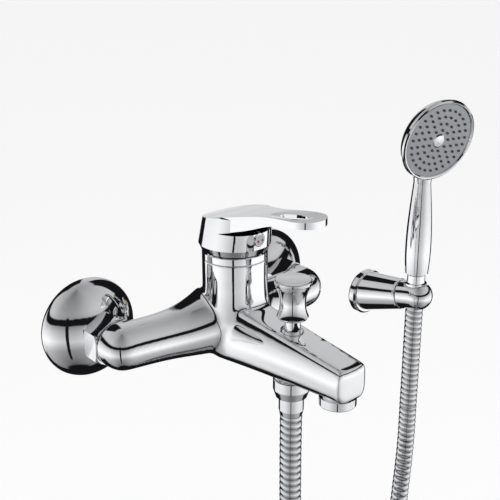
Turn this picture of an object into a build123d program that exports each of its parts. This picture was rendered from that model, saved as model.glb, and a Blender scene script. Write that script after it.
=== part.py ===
"""Wall mounted bath and shower mixer with its hose, hand shower and wall bracket.

Millimetres. +Z is up, the wall is the plane Y = 0 and the mixer stands out of it towards -Y.
The origin lies in the wall plane, midway between the hot and the cold inlet.
"""
from build123d import *
from math import cos, pi, radians, sin, sqrt, tan
import os

# ------------------------------------------------------------------ driving dimensions
inlet_spacing = 150.0          # hot to cold centres
fit = 0.1                      # radial room in a screwed or plugged joint
running = 0.06                 # radial room of a turning or sliding fit
gap = 0.3                      # room between pieces that move past each other

# inlets: wall union, flange and union nut
pipe_radius = 10.48            # G1/2 thread
pipe_depth = 14.0              # how far the union reaches into the wall
pipe_bore = 7.5
swivel_thread = 13.2           # G3/4 thread
swivel_reach = 31.0            # face of the union, from the wall
flange_radius = 32.8
flange_back = 31.2
flange_depth = 24.3
flange_hole = 14.2
flange_wall = 1.2
nut_flats = 30.0
nut_start = 24.6
nut_length = 13.2
nut_lip = 2.6
washer_thick = 2.0
tail_radius = 11.2
tail_flange = 12.7
tail_flange_thick = 2.2

# body casting
column_y = 62.7                # column axis, from the wall
column_radius = 20.9
column_top = 47.5
column_bottom = -20.5
arm_wall_y = 45.0              # arm axis at the elbow, from the wall
arm_body_y = 54.0              # arm axis where it enters the body
arm_end_radius = 14.8
arm_root_radius = 18.4
elbow_face = 38.4              # wall-side face of the elbow, from the wall
arm_bore = 6.5
arm_bore_shift = 1.5           # the waterway runs this far in front of the arm's axis
arm_flare = 3.4                # how much an arm swells where it runs into the column
arm_flare_lift = 3.6           # and how far its centre climbs there
column_foot = 22.6             # radius of the column at its foot
spout_end = 169.4              # front of the spout, from the wall
spout_top_back = 19.4          # height of the top face at the column axis
spout_top_front = 8.6
spout_under_back = -20.5
spout_under_front = -12.4
spout_top_back_half = 12.8     # half width of the flat top at the column
spout_top_front_half = 10.4
spout_back_half = 19.0         # half width of the underside at the column
spout_middle_half = 14.8
spout_front_half = 11.2
nose_radius = 34.0             # the front of the spout seen from above
nose_corner = 4.0              # and the rounding of its corners
nose_brow = 3.6                # and of its upper edge
aerator_y = spout_end - 12.9
aerator_bore = 9.6
waterway = 4.5

# cartridge and its cover
cartridge_radius = 17.4
cartridge_floor = 12.0
housing_top = 46.0
collar_radius = 12.4
collar_top = 50.0
housing_wall = 2.0
base_thick = 4.0
seal_section = 1.2
seal_radius = 5.2
port_radius = 3.6              # the three water ports under the discs
port_side = cartridge_radius - 7.9     # how far the two inlet ports lie to the sides
port_front = cartridge_radius - 8.4    # and the outlet port to the front
port_back = 5.0                        # the inlet ports also lie this much towards the wall
disc_radius = cartridge_radius - housing_wall - 0.8
disc_thick = 3.0
moving_radius = disc_radius - 3.2
moving_thick = 2.6
moving_offset = 2.8            # the moving disc sits this far back when the lever is down
carrier_top = 33.5
driver_radius = 11.6
driver_bottom = 34.0
driver_top = 49.0
pivot_z = 45.0
pin_radius = 1.25
stem_side = 7.6
stem_top = 66.0
stem_neck = 2.0
stem_ball = 3.2
stem_ball_z = 30.0
nut_inner = 12.8
nut_outer = 18.6
trim_inner = 18.8
trim_top = 52.7

# lever handle
dome_gap = 0.35
dome_rim_outer = 21.3
dome_rim_inner = 20.65
dome_radius = 23.0
dome_chamfer = 4.0
dome_crown_radius = 21.4
dome_crown_shift = 3.2         # the crown leans this far towards the lever's tip
dome_crown_z = 78.0
dome_wall = 2.2
dome_ceiling = 63.0
lever_tip_y = 139.0            # tip of the lever, from the wall
lever_half = 12.6
lever_waist = 11.9
lever_waist_y = 97.0
loop_length = 23.0             # the oval hole through the lever
loop_width = 9.0
loop_y = 117.0
dish_length = 43.0             # the shallow hollow around that hole
dish_width = 19.6
dish_depth = 1.1
dish_pitch = 8.6               # the lever's top climbs this much towards the tip, degrees
socket_radius = 7.6
index_radius = 4.3
index_z = 63.6
index_sunk = 2.4               # the index button sits this deep in the dome
index_stand = 1.2
handle_screw_radius = 2.4
handle_screw_length = 6.0
key_radius = 1.3

# diverter
diverter_y = 117.0
chamber_radius = 7.8
chamber_top = 3.0
bonnet_radius = 4.9
bonnet_thread = 6.2
bonnet_top = 21.0
knob_bottom = 22.6
knob_top = 47.4
knob_radius = 11.4
knob_waist = 7.9
knob_foot = 9.8
knob_socket = 14.0             # the spindle goes this far into the knob
spindle_radius = 2.5
valve_radius = 7.3
valve_seat = -13.0
diverter_lift = 7.5
spring_radius = 4.6
spring_wire = 1.0
spring_turns = 3

# shower outlet and hose
outlet_face = -17.4
nipple_length = 7.4
nipple_bore = 5.0
hose_nut_radius = 11.6
hose_nut_length = 11.8
ferrule_radius = 7.9
ferrule_length = 12.8
hose_radius = 6.9
hose_bore = 3.6

coil_x = 95.0                  # middle of the tied coil
coil_y = 88.0
coil_z = -292.0
coil_turn = 69.0               # radius at the middle of a turn
coil_turns = 2.5
coil_pitch = 14.4
hose_joint = -132.0            # below this the hose stays with the wall, above it with the grip

# aerator
aerator_radius = 11.2
aerator_drop = 5.6
aerator_thread_length = 6.0
aerator_insert_radius = 8.4
aerator_seal_thick = 1.9

# wall bracket
bracket_x = 190.5
bracket_z = -47.0
bracket_rise = 13.0            # the arm climbs away from the wall, degrees
base_radius = 18.4
base_depth = 7.0
arm_start_radius = 16.4
arm_stop_radius = 12.3
arm_stop = 44.2                # seam of the swivel head, measured along the arm
plate_thick = 2.4              # the hidden plate that the cup clips over
screw_spread = 21.0            # between the plate's two countersunk holes
screw_hole = 1.8
screw_head = 3.4
cup_lip = 1.6                  # wall of the cup round that plate
head_radius = 11.7
head_centre = 58.8
swivel_spigot = 4.2            # short pin of the swivel head that turns in the arm
swivel_screw_reach = 14.0      # how far the pivot screw goes into the arm
swivel_screw_radius = 2.0      # its smooth part
swivel_thread_radius = 1.6
swivel_screw_head = 3.4
socket_y = 54.6                # axis of the hand shower, from the wall
socket_bore = 8.3
liner_bore = 7.5
liner_flange = 1.0
liner_seat = 8.0               # the liner's flange sits this far above the socket's middle

# hand shower
neck_radius = 7.1
neck_bottom = -36.0
neck_top = -16.6
collar_ring = 8.6
grip_bottom_radius = 9.0
grip_radius = 10.0
grip_top_radius = 6.7
grip_widest_z = 11.0
grip_top = 58.0
handset_turn = 12.0            # the face looks this far towards the mixer, degrees
face_tilt = 13.0               # and this far down
face_reach = 16.8              # face centre, forward of the grip axis
face_z = 93.0
face_radius = 28.9
rim_radius = 31.8
shell_depth = 17.5
nozzle_rings = ((8.4, 9), (13.6, 15), (18.8, 21), (24.0, 27))
nozzle_radius = 1.0
nozzle_height = 1.0
hub_radius = 5.4
hub_seat = -1.7                # the hub's cap sits this deep in the sprayface
screw_depth = 14.5
face_screw_radius = 1.5
water_bore = 4.0
hose_end_radius = 5.4          # spigot of the hose's end fitting inside the grip

os.makedirs("parts", exist_ok=True)
half_spacing = inlet_spacing / 2


# ------------------------------------------------------------------ helpers
def keep(name, *solids):
    """Write one sub-part: one solid, or a few loose ones that belong together."""
    flat = [piece for solid in solids for piece in solid.solids()]
    shape = flat[0] if len(flat) == 1 else Compound(flat)
    shape.label = name
    export_step(shape, f"parts/{name}.step")
    print(f"{name:24s} {len(flat)} solid(s) {shape.volume / 1000:9.3f} cm3")
    return shape


def spun(edges, at=(0, 0, 0), axis=(0, 0, 1)):
    """Turn a closed outline, drawn as (radius, 0, height) edges, about its axis."""
    turned_solid = revolve(Face(Wire(edges)), Axis.Z)
    return Plane(origin=at, z_dir=axis).location * turned_solid


def turned(points, at=(0, 0, 0), axis=(0, 0, 1), soft=()):
    """Turn a polygon of (radius, height) points; soft lists (point, rounding radius)."""
    face = Face(Wire.make_polygon([Vector(r, 0, h) for r, h in points], close=True))
    for (r, h), radius in soft:
        corner = face.vertices().sort_by_distance(Vector(r, 0, h))[0]
        face = face.fillet_2d(radius, [corner])
    return Plane(origin=at, z_dir=axis).location * revolve(face, Axis.Z)


def rod(radius, start, end, at=(0, 0, 0), axis=(0, 0, 1)):
    """A plain round bar between two heights along an axis."""
    return turned([(0, start), (radius, start), (radius, end), (0, end)], at, axis)


def ring(inner, outer, start, end, at=(0, 0, 0), axis=(0, 0, 1)):
    """A plain sleeve between two heights along an axis."""
    return turned([(inner, start), (outer, start), (outer, end), (inner, end)], at, axis)


def box(x0, x1, y0, y1, z0, z1):
    """A block between two opposite corners."""
    centre = ((x0 + x1) / 2, (y0 + y1) / 2, (z0 + z1) / 2)
    return Pos(*centre) * Box(abs(x1 - x0), abs(y1 - y0), abs(z1 - z0))


def hexagon(flats, start, end, at, axis, bevel):
    """A hexagon bar with both ends bevelled by a cone."""
    corner = flats / 2 / cos(pi / 6)
    bar = extrude(RegularPolygon(corner, 6), end - start)
    bar = Pos(0, 0, start) * bar
    cone = turned([(0, start), (corner - bevel, start), (corner + 0.2, start + bevel * 0.75),
                   (corner + 0.2, end - bevel * 0.75), (corner - bevel, end), (0, end)])
    return Plane(origin=at, z_dir=axis).location * (bar & cone)


out = (0, -1, 0)               # away from the wall
column = (0, -column_y, 0)
sides = (("left", -half_spacing), ("right", half_spacing))


# ------------------------------------------------------------------ inlets
def wall_union():
    """Brass connector: G1/2 into the wall, G3/4 for the nut, a seat ring for the flange."""
    return turned([(pipe_bore, -pipe_depth), (pipe_radius, -pipe_depth), (pipe_radius, 3.0),
                   (flange_hole - 0.6, 6.0), (flange_hole - 0.6, flange_depth - 4.0),
                   (swivel_thread, flange_depth - 3.0), (swivel_thread, swivel_reach),
                   (pipe_bore, swivel_reach)], axis=out)


def wall_flange():
    """Domed cover that hides the hole in the wall."""
    outer = Spline((flange_back, 0, 0), (flange_radius, 0, 6.0), (28.3, 0, 14.6),
                   (21.6, 0, 20.4), (flange_hole, 0, flange_depth))
    inner = Spline((flange_hole, 0, flange_depth - flange_wall),
                   (21.0, 0, 20.3 - flange_wall), (27.3, 0, 14.2 - flange_wall / 2),
                   (flange_radius - flange_wall, 0, 5.8), (flange_back - flange_wall, 0, 0))
    lip = Line((flange_hole, 0, flange_depth), (flange_hole, 0, flange_depth - flange_wall))
    foot = Line((flange_back - flange_wall, 0, 0), (flange_back, 0, 0))
    return spun([outer, lip, inner, foot], axis=out)


def union_nut():
    """Hexagon nut that pulls the mixer's tail onto the union."""
    end = nut_start + nut_length
    blank = hexagon(nut_flats, nut_start, end, (0, 0, 0), out, 1.6)
    bore = rod(swivel_thread + fit, nut_start - 1, end - nut_lip, axis=out)
    mouth = rod(tail_radius + fit, nut_start, end + 1, axis=out)
    return blank - bore - mouth


tail_face = swivel_reach + washer_thick
union = wall_union()
flange = wall_flange()
nut = union_nut()
washer = ring(pipe_bore, tail_flange, swivel_reach, tail_face, axis=out)
for side, x in sides:
    keep(f"wall_union_{side}", Pos(x, 0, 0) * union)
    keep(f"wall_flange_{side}", Pos(x, 0, 0) * flange)
    keep(f"union_nut_{side}", Pos(x, 0, 0) * nut)
    keep(f"union_washer_{side}", Pos(x, 0, 0) * washer)


# ------------------------------------------------------------------ body casting
def spout_section(along, top, under, top_half, under_half, bulge):
    """One cross-section of the spout: flat top, swelling sides, rounded bottom."""
    shoulder = 2.6
    belly = min(9.0, (top - under) * 0.3)
    side_top = top - shoulder
    side_low = under + belly
    middle = (side_top + side_low) / 2
    wide = (top_half + under_half) / 2 + bulge

    def at(x, z):
        return Vector(x, -along, z)

    lean = belly * 0.62
    right = [
        ThreePointArc(at(top_half - shoulder, top), at(top_half - shoulder * 0.25, top - shoulder * 0.3),
                      at(top_half + 0.4, side_top)),
        ThreePointArc(at(top_half + 0.4, side_top), at(wide, middle), at(under_half, side_low)),
        ThreePointArc(at(under_half, side_low), at(under_half - lean * 0.35, under + belly * 0.28),
                      at(under_half - belly, under)),
    ]
    left = [edge.mirror(Plane.YZ) for edge in right]
    roof = Line(at(top_half - shoulder, top), at(shoulder - top_half, top))
    floor = Line(at(under_half - belly, under), at(belly - under_half, under))
    return Wire(right + left + [roof, floor])


def slope(back, front, along):
    """A height on the spout, taken on the straight line from the column to the tip."""
    share = (along - column_y) / (spout_end - column_y)
    return back + (front - back) * share


def spout_blank():
    """The spout as a loft of three sections, with a gently rounded front."""
    middle = (column_y + spout_end) / 2
    places = ((column_y, spout_back_half, 2.0), (middle, spout_middle_half, 1.6),
              (spout_end + 4, spout_front_half, 0.6))
    wires = [spout_section(y, slope(spout_top_back, spout_top_front, y),
                           slope(spout_under_back, spout_under_front, y),
                           slope(spout_top_back_half, spout_top_front_half, y), half, bulge)
             for y, half, bulge in places]
    blank = Solid.make_loft(wires)
    nose_start = spout_end - nose_radius
    brow = spout_top_front + 0.3
    nose = turned([(0, -60), (nose_radius, -60), (nose_radius, brow), (0, brow + 3.5)],
                  (0, -nose_start, 0), soft=[((nose_radius, brow), nose_brow)])
    wide = spout_front_half + 0.8
    cheeks = Face(Wire.make_polygon([(-26, -nose_start), (-wide, -spout_end), (wide, -spout_end),
                                     (26, -nose_start)], close=True))
    corners = [vertex for vertex in cheeks.vertices() if vertex.Y < -spout_end + 1]
    cheeks = Pos(0, 0, -60) * extrude(cheeks.fillet_2d(nose_corner, corners), 120, dir=(0, 0, 1))
    keep_back = box(-40, 40, -column_y + 30, -nose_start, -60, 60)
    return (blank & nose & cheeks) + (blank & keep_back)


def arm(x):
    """One arm: a tapered tube from the elbow that swells into the column."""
    start = Vector(x, -arm_wall_y, 0)
    stop = Vector(0, -arm_body_y, 0)
    length = (stop - start).length
    direction = (stop - start).normalized()
    grow = arm_root_radius - arm_end_radius
    stations = ((0.0, 0.0, 0.0), (0.3, 0.15, 0.0), (0.52, 0.5, 0.1), (0.68, 0.85, 0.45), (0.8, 1.0, 1.0))
    circles = []
    for share, thicken, flare in stations:
        centre = start + direction * (length * share) + Vector(0, 0, arm_flare_lift * flare)
        radius = arm_end_radius + grow * thicken + arm_flare * flare
        circles.append((Plane(origin=centre, x_dir=(0, 0, 1), z_dir=direction) * Circle(radius)).wire())
    tube = Solid.make_loft(circles)
    ball = Pos(x, -arm_wall_y, 0) * Sphere(arm_end_radius)
    turning_room = rod(nut_flats / 2 / cos(pi / 6) + 0.5, 0, elbow_face, (x, 0, 0), out)
    neck = rod(arm_end_radius, elbow_face, arm_wall_y, (x, 0, 0), out)
    tail = rod(tail_radius, tail_face, elbow_face + 1, (x, 0, 0), out)
    rim = rod(tail_flange, tail_face, tail_face + tail_flange_thick, (x, 0, 0), out)
    return (tube + ball - turning_room) + neck + tail + rim


def arm_waterway(x):
    """Bore through one arm, from the union to below the cartridge."""
    start = Vector(x, -arm_wall_y - arm_bore_shift, 0)
    stop = Vector(0, -arm_body_y - arm_bore_shift, 0)
    direction = (stop - start).normalized()
    reach = (stop - start).length - 12.0
    along = rod(arm_bore, 0, reach, tuple(start), tuple(direction))
    ball = Pos(*start) * Sphere(arm_bore)
    entry = rod(pipe_bore, tail_face - 1, arm_wall_y, (x, 0, 0), out)
    sign = 1 if x > 0 else -1
    riser = rod(4.0, 0, cartridge_floor + 1, (sign * port_side, -column_y + port_back, 0))
    return along + ball + entry + riser


def body_casting():
    """The chrome plated casting that carries everything."""
    swell_top = 32.0           # between these heights the column widens to its foot
    swell_low = 9.0
    heel_top = -7.0
    sole = column_foot - 13.0  # radius of the flat underside
    waist = ThreePointArc((column_radius, 0, swell_top), (column_radius + 0.35, 0, 21.0),
                          (column_foot, 0, swell_low))
    heel = ThreePointArc((column_foot - 0.6, 0, heel_top), (column_foot - 4.6, 0, column_bottom + 4.2),
                         (sole, 0, column_bottom))
    core = spun([Line((0, 0, column_top), (column_radius, 0, column_top)),
                 Line((column_radius, 0, column_top), (column_radius, 0, swell_top)), waist,
                 Line((column_foot, 0, swell_low), (column_foot - 0.6, 0, heel_top)), heel,
                 Line((sole, 0, column_bottom), (0, 0, column_bottom)),
                 Line((0, 0, column_bottom), (0, 0, column_top))], column)
    solid = core + spout_blank()
    for _, x in sides:
        solid = solid + arm(x)
    boss = rod(hose_nut_radius - 0.6, outlet_face, -8.0, (0, -diverter_y, 0))
    solid = solid + boss
    bowl = rod(cartridge_radius + fit, cartridge_floor, housing_top + 0.2, column)
    throat = rod(nut_outer + fit, housing_top, column_top + 1, column)
    solid = solid - bowl - throat
    for _, x in sides:
        solid = solid - arm_waterway(x)
    outlet = rod(waterway, -4.0, cartridge_floor + 1, (0, -column_y - port_front, 0))
    feed = rod(waterway, column_y + port_front, diverter_y, (0, 0, -4.0), out)
    to_tip = rod(waterway - 0.5, diverter_y, aerator_y, (0, 0, -1.0), out)
    chamber = rod(chamber_radius + gap, outlet_face - 1, chamber_top, (0, -diverter_y, 0))
    top_hole = rod(bonnet_thread + fit, chamber_top - 1, 40, (0, -diverter_y, 0))
    solid = solid - outlet - feed - to_tip - chamber - top_hole
    tip_under = slope(spout_under_back, spout_under_front, aerator_y)
    tip_ceiling = tip_under + aerator_thread_length + aerator_seal_thick
    tip = rod(aerator_bore + fit, -30, tip_ceiling, (0, -aerator_y, 0))
    drop = rod(waterway - 0.5, tip_ceiling - 2.5, -1.0, (0, -aerator_y, 0))
    spot_face = rod(aerator_radius + fit, -60, tip_under, (0, -aerator_y, 0))
    return solid - tip - drop - spot_face


body = body_casting()
keep("mixer_body", body)


# ------------------------------------------------------------------ cartridge
def cartridge():
    """Ceramic disc cartridge: housing, base, discs, carrier, turning driver and lever stem."""
    wall_in = cartridge_radius - housing_wall
    base_top = cartridge_floor + base_thick
    ceiling = driver_bottom + 1.0
    neck_in = driver_radius + running
    housing = turned([(wall_in, base_top), (cartridge_radius, base_top), (cartridge_radius, housing_top),
                      (collar_radius, housing_top), (collar_radius, collar_top), (neck_in, collar_top),
                      (neck_in, ceiling), (wall_in, ceiling)], column)
    keep("cartridge_housing", housing)

    base = rod(cartridge_radius, cartridge_floor, base_top, column)
    ports = [(port_side, port_back), (-port_side, port_back), (0.0, -port_front)]
    seal_top = cartridge_floor + seal_section
    seals = []
    for x, y in ports:
        at = (x, -column_y + y, 0)
        base = base - rod(port_radius, cartridge_floor - 1, base_top + 1, at)
        base = base - ring(port_radius, seal_radius + fit, cartridge_floor - 1, seal_top, at)
        seals.append(ring(port_radius + 0.3, seal_radius, cartridge_floor, seal_top, at))
    keep("cartridge_base", base)
    keep("cartridge_seals", *seals)

    disc_top = base_top + disc_thick
    fixed = rod(disc_radius, base_top, disc_top, column)
    for x, y in ports:
        fixed = fixed - rod(port_radius - 0.2, base_top - 1, disc_top + 1, (x, -column_y + y, 0))
    keep("fixed_ceramic_disc", fixed)

    centre = (0, -column_y + moving_offset, 0)
    moving = rod(moving_radius, disc_top, disc_top + moving_thick, centre)
    moving = moving - rod(moving_radius - 4.4, disc_top - 1, disc_top + moving_thick * 0.6, centre)
    keep("moving_ceramic_disc", moving)

    carrier_bottom = disc_top + moving_thick
    carrier = rod(moving_radius, carrier_bottom, carrier_top, centre)
    slot_half = stem_ball + running
    slot = box(-slot_half, slot_half, -column_y - slot_half, -column_y + slot_half,
               stem_ball_z - 4.6, 60)
    keep("disc_carrier", carrier - slot)

    driver = rod(driver_radius, driver_bottom, driver_top, column)
    way = stem_side / 2 + gap
    reach = 9.0
    slot = box(-way, way, -column_y - reach, -column_y + reach, 0, 80)
    pin_hole = rod(pin_radius, -12, 12, (0, -column_y, pivot_z), (1, 0, 0))
    keep("cartridge_driver", driver - slot - pin_hole)
    pin_half = driver_radius - 0.6
    keep("pivot_pin", rod(pin_radius, -pin_half, pin_half, (0, -column_y, pivot_z), (1, 0, 0)))

    half = stem_side / 2
    upper = box(-half, half, -column_y - half, -column_y + half, pivot_z - 5.0, stem_top)
    lower = rod(stem_neck, stem_ball_z, pivot_z, column)
    ball = Pos(0, -column_y, stem_ball_z) * Sphere(stem_ball)
    eye = rod(pin_radius + running, -12, 12, (0, -column_y, pivot_z), (1, 0, 0))
    keep("lever_stem", upper + lower + ball - eye)

    keep("retaining_nut", ring(nut_inner, nut_outer, housing_top, collar_top, column))
    keep("trim_ring", turned([(trim_inner, column_top), (column_radius, column_top),
                              (column_radius, trim_top - 1.3), (trim_inner + 0.7, trim_top),
                              (trim_inner, trim_top)], column))


cartridge()


# ------------------------------------------------------------------ lever handle
def lever_outline():
    """The lever seen from above: round crown, slight waist, round tip."""
    crown_y = column_y + dome_crown_shift * 0.6
    tip_centre = lever_tip_y - lever_half
    crown = dome_crown_radius - 1.2
    start = (crown * cos(radians(20)), -(crown_y + crown * sin(radians(20))))
    right = Spline(start, (lever_waist, -lever_waist_y), (lever_half, -tip_centre),
                   tangents=[(-0.25, -1.0), (0.0, -1.0)])
    left = right.mirror(Plane.YZ)
    tip = ThreePointArc((lever_half, -tip_centre), (0, -lever_tip_y), (-lever_half, -tip_centre))
    back = ThreePointArc(start, (0, -crown_y + crown), (-start[0], start[1]))
    return Face(Wire([right, tip, left, back]))


def side_face(points_top, points_under):
    """A closed outline in the plane X = 0 between two smooth curves of (y, z) points."""
    top = Spline(*[(0, -y, z) for y, z in points_top])
    under = Spline(*[(0, -y, z) for y, z in points_under])
    return Face(Wire([top, Line(top @ 1, under @ 1), under, Line(under @ 0, top @ 0)]))


def lever_dish():
    """The thumb hollow: the lowest slice of a long, flat ellipsoid."""
    drop = 12.0                # half height of the ellipsoid
    reach = sqrt(1 - (1 - dish_depth / drop) ** 2)
    sizes = (dish_width / 2 / reach, dish_length / 2 / reach, drop)
    top_z = 86.9               # the lever's top at the middle of the loop
    hollow = Pos(0, 0, drop - dish_depth) * scale(Sphere(1), by=sizes)
    return Pos(0, -loop_y, top_z) * Rot(-dish_pitch, 0, 0) * hollow


def lever_handle():
    """Hollow dome over the cartridge, with the lever growing out of its crown."""
    rim_z = trim_top + dome_gap
    wide_z = rim_z + dome_chamfer
    foot = (Plane(origin=(0, -column_y, rim_z)) * Circle(dome_rim_outer)).wire()
    wide = (Plane(origin=(0, -column_y, wide_z)) * Circle(dome_radius)).wire()
    crown_at = Plane(origin=(0, -column_y - dome_crown_shift, dome_crown_z))
    crown = (crown_at * Circle(dome_crown_radius)).wire()
    dome = Solid.make_loft([foot, wide]) + Solid.make_loft([wide, crown], ruled=True)
    roof = side_face(((38, 70.4), (48, 73.2), (62, 76.2), (90, 81.9)),
                     ((38, 40.0), (60, 40.0), (90, 40.0)))
    dome = dome & extrude(roof, 40, both=True)

    rise = side_face(((38, 70.4), (62, 76.2), (90, 82.0), (112, 86.2), (128, 88.2), (142, 88.8)),
                     ((38, 60.0), (72, 68.6), (90, 73.4), (108, 80.2), (122, 83.4), (142, 84.4)))
    plate = extrude(lever_outline(), 120, dir=(0, 0, 1))
    lever = plate & extrude(rise, 40, both=True)

    wedge = side_face(((72, 68.4), (86, 71.8), (100, 76.6)), ((72, 68.2), (86, 67.6), (100, 67.4)))
    cut = extrude(wedge, 40, both=True)
    solid = dome - cut + lever

    cavity_low = (Plane(origin=(0, -column_y, rim_z - 0.01)) * Circle(dome_rim_inner)).wire()
    ceiling_at = Plane(origin=(0, -column_y - 0.8, dome_ceiling))
    cavity_top = (ceiling_at * Circle(dome_crown_radius - dome_wall)).wire()
    cavity = Solid.make_loft([cavity_low, cavity_top])
    socket = rod(socket_radius, dome_ceiling - 5.0, dome_ceiling + 4, column)
    half = stem_side / 2 + running
    square = box(-half, half, -column_y - half, -column_y + half, 40, stem_top + 0.3)
    solid = solid - (cavity - socket) - square

    solid = solid - lever_dish()
    loop = Plane(origin=(0, -loop_y, 0)) * Ellipse(loop_width / 2, loop_length / 2)
    solid = solid - extrude(loop, 200)
    outside = column_y + dome_radius + 6
    pocket = rod(index_radius + fit, index_back, outside, (0, 0, index_z), out)
    screw_way = rod(handle_screw_radius + 0.2, column_y, outside, (0, 0, index_z), out)
    return solid - pocket - screw_way


index_back = column_y + dome_radius - index_sunk
keep("lever_handle", lever_handle())
stem_front = column_y + stem_side / 2
screw_end = stem_front + handle_screw_length
key_at = Plane(origin=(0, -screw_end, index_z), z_dir=(0, 1, 0))
key_hole = extrude(key_at * RegularPolygon(key_radius, 6), handle_screw_length / 2)
keep("handle_screw", rod(handle_screw_radius, stem_front, screw_end, (0, 0, index_z), out) - key_hole)
index_face = index_back + index_sunk + index_stand
keep("index_button", turned([(0, index_back), (index_radius, index_back),
                             (index_radius, index_face - 0.4), (index_radius - 0.6, index_face + 0.2),
                             (0, index_face + 0.2)], (0, 0, index_z), out))


# ------------------------------------------------------------------ diverter
def diverter_knob(at):
    """Pull knob: dished top, two fine grooves under its rim, a waist and a flared foot."""
    rim = knob_radius
    under_rim = rim - 0.9
    socket_top = knob_bottom + knob_socket
    recess = bonnet_radius + 1.4
    recess_top = knob_bottom + 1.0
    corners = [(rim, knob_top - 1.0), (rim - 0.2, knob_top - 2.4), (under_rim, knob_top - 2.9),
               (rim - 0.5, knob_top - 3.6), (under_rim, knob_top - 4.8)]
    grooves = [Line((r0, 0, z0), (r1, 0, z1)) for (r0, z0), (r1, z1) in zip(corners, corners[1:])]
    foot = [(knob_foot, knob_bottom + 1.4), (knob_foot - 0.8, knob_bottom), (recess, knob_bottom),
            (recess, recess_top), (spindle_radius, recess_top), (spindle_radius, socket_top),
            (0, socket_top), (0, knob_top - 0.9)]
    inside = [Line((r0, 0, z0), (r1, 0, z1)) for (r0, z0), (r1, z1) in zip(foot, foot[1:])]
    dish = ThreePointArc((0, 0, knob_top - 0.9), (rim * 0.5, 0, knob_top - 0.7), (rim - 1.0, 0, knob_top))
    lip = ThreePointArc((rim - 1.0, 0, knob_top), (rim - 0.2, 0, knob_top - 0.3),
                        (rim, 0, knob_top - 1.0))
    waist = Spline((under_rim, 0, knob_top - 4.8), (knob_waist + 0.7, 0, knob_top - 9.5),
                   (knob_waist, 0, knob_top - 15.0), (knob_waist + 0.8, 0, knob_bottom + 4.4),
                   (knob_foot, 0, knob_bottom + 1.4))
    return spun([dish, lip, *grooves, waist, *inside], at)


def diverter():
    """Pull-up diverter: knob, spindle, bonnet, valve and the spring that pushes it down."""
    at = (0, -diverter_y, 0)
    bush_bore = spindle_radius + running
    spout_top = slope(spout_top_back, spout_top_front, diverter_y)
    keep("diverter_bonnet", turned([(bush_bore, chamber_top), (bonnet_thread, chamber_top),
                                    (bonnet_thread, spout_top - 0.4), (bonnet_radius, spout_top - 0.4),
                                    (bonnet_radius, bonnet_top), (bush_bore, bonnet_top)], at))
    valve_top = valve_seat + 4.4
    keep("diverter_spindle", rod(spindle_radius, valve_seat + 1.0, knob_bottom + knob_socket, at))
    valve = ring(spindle_radius, valve_radius, valve_seat, valve_top, at)
    groove = ring(valve_radius - 1.0, valve_radius + 1, valve_seat + 1.4, valve_seat + 3.0, at)
    keep("diverter_valve", valve - groove - rod(spindle_radius, valve_seat, valve_top, at))
    keep("diverter_seal", ring(valve_radius - 1.0, chamber_radius - fit, valve_seat + 1.4,
                               valve_seat + 3.0, at))
    keep("diverter_knob", diverter_knob(at))
    pitch = (chamber_top - valve_top - spring_wire) / spring_turns
    coils = Helix(pitch=pitch, height=pitch * spring_turns, radius=spring_radius,
                  center=(0, 0, valve_top + spring_wire / 2))
    wire_end = Plane(origin=coils @ 0, z_dir=coils % 0)
    spring = sweep(wire_end * Circle(spring_wire / 2), path=coils)
    keep("diverter_spring", Pos(*at) * spring)


diverter()


# ------------------------------------------------------------------ shower outlet
outlet = (0, -diverter_y, 0)
nipple_bottom = outlet_face - nipple_length
nipple_outside = pipe_radius - 0.4
keep("shower_nipple", turned([(nipple_bore, nipple_bottom), (nipple_outside, nipple_bottom),
                              (nipple_outside, outlet_face), (chamber_radius, outlet_face),
                              (chamber_radius, valve_seat), (nipple_bore, valve_seat)], outlet))
keep("check_valve", ring(1.6, nipple_bore - fit, nipple_bottom + 1.5, nipple_bottom + 8.5, outlet))
washer_low = nipple_bottom - washer_thick
washer_radius = pipe_radius - 0.6
keep("hose_washer", ring(4.0, washer_radius, washer_low, nipple_bottom, outlet))

nut_top = outlet_face - gap
nut_low = nut_top - hose_nut_length
nut_bore = pipe_radius - 0.3
shelf = washer_low - 1.6       # the nut's inner shelf, which pulls the hose tail up
nut_hole = hose_radius - 0.6
nut_round = (hose_nut_radius, nut_low + 5.0)
keep("hose_nut", turned([(nut_hole, nut_low), (hose_nut_radius - 1.6, nut_low), nut_round,
                         (hose_nut_radius, nut_top), (nut_bore, nut_top), (nut_bore, shelf),
                         (nut_hole, shelf)], outlet, soft=[(nut_round, 4.0)]))
ferrule_low = nut_low - ferrule_length
tail_outside = nut_hole - fit
keep("hose_tail_lower", turned([(hose_bore, ferrule_low), (tail_outside, ferrule_low),
                                (tail_outside, shelf), (washer_radius, shelf),
                                (washer_radius, washer_low), (hose_bore, washer_low)], outlet))
keep("hose_ferrule_lower", turned([(nut_hole, ferrule_low), (hose_radius + 0.3, ferrule_low),
                                   (ferrule_radius, ferrule_low + 3.4), (ferrule_radius, nut_low),
                                   (nut_hole, nut_low)], outlet))


# ------------------------------------------------------------------ aerator
tip_under = slope(spout_under_back, spout_under_front, aerator_y)
aerator = (0, -aerator_y, 0)
aerator_low = tip_under - aerator_drop
aerator_top = tip_under + aerator_thread_length
insert_room = aerator_insert_radius + fit
keep("aerator_housing", turned([(insert_room, aerator_low), (aerator_radius, aerator_low),
                                (aerator_radius, tip_under), (aerator_bore, tip_under),
                                (aerator_bore, aerator_top), (insert_room, aerator_top)],
                               aerator, soft=[((aerator_radius, aerator_low), 0.7)]))
keep("aerator_insert", rod(aerator_insert_radius, aerator_low + 0.8, aerator_top - 1.6, aerator))
keep("aerator_seal", ring(5.0, aerator_bore, aerator_top, aerator_top + aerator_seal_thick, aerator))


# ------------------------------------------------------------------ wall bracket
rise = radians(bracket_rise)
arm_axis = (0, -cos(rise), sin(rise))
arm_origin = (bracket_x, 0, bracket_z)


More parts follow.
